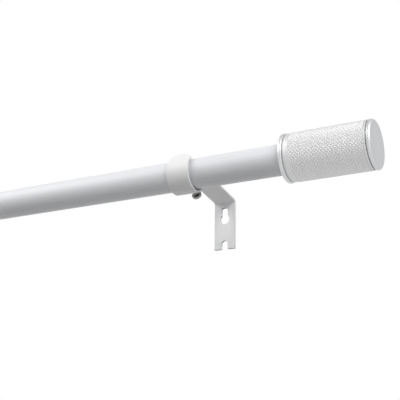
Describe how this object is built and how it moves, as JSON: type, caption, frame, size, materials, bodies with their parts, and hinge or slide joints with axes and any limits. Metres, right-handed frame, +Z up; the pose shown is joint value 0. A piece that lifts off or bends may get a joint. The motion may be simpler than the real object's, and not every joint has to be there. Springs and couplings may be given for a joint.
{
  "type": "extendable curtain rod",
  "caption": "Straight telescoping curtain rod with knurled cylinder finials, held in front of the wall by folded strip brackets with a keyhole and a radial clamp screw.",
  "frame": {"origin": "on the back face of the right-hand bracket plate, on its centre line, between the keyhole and the foot notch", "axes": "+X along the rod towards the right-hand finial, +Y into the wall, +Z up"},
  "size_m": [0.8594, 0.0961, 0.0647],
  "materials": {
    "rod_paint": "satin white powder coat",
    "bracket_paint": "satin white powder coat",
    "finial_metal": "turned, satin",
    "knurled_metal": "diamond knurled, satin",
    "screw_steel": "dark nickel plate",
    "stud_steel": "zinc plate",
    "brass": "machined",
    "white_plastic": "moulded, matte"
  },
  "bodies": {
    "fixed_rod": {"outer_tube": "rod_paint", "mouth_liner": "white_plastic", "end_plug_right": "white_plastic", "insert_right": "brass", "bracket_right": "bracket_paint"},
    "sliding_rod": {"inner_tube": "rod_paint", "inner_glide": "white_plastic", "end_plug_left": "white_plastic", "insert_left": "brass", "bracket_left": "bracket_paint"},
    "clamp_right": {"clamp_screw_right": "screw_steel"},
    "clamp_left": {"clamp_screw_left": "screw_steel"},
    "finial_right": {"finial_base_right": "finial_metal", "finial_sleeve_right": "knurled_metal", "finial_cap_right": "finial_metal", "finial_stud_right": "stud_steel"},
    "finial_left": {"finial_base_left": "finial_metal", "finial_sleeve_left": "knurled_metal", "finial_cap_left": "finial_metal", "finial_stud_left": "stud_steel"}
  },
  "joints": [
    {"name": "rod_extend", "type": "slide", "parent": "fixed_rod", "child": "sliding_rod", "axis": [-1, 0, 0], "range_m": [0, 0.508]},
    {"name": "clamp_right_loosen", "type": "slide", "parent": "fixed_rod", "child": "clamp_right", "axis": [0, 0.8829, -0.4695], "range_m": [0, 0.002]},
    {"name": "clamp_left_loosen", "type": "slide", "parent": "sliding_rod", "child": "clamp_left", "axis": [0, 0.8829, -0.4695], "range_m": [0, 0.002]},
    {"name": "finial_right_unscrew", "type": "slide", "parent": "fixed_rod", "child": "finial_right", "axis": [1, 0, 0], "range_m": [0, 0.012]},
    {"name": "finial_left_unscrew", "type": "slide", "parent": "sliding_rod", "child": "finial_left", "axis": [-1, 0, 0], "range_m": [0, 0.012]}
  ]
}
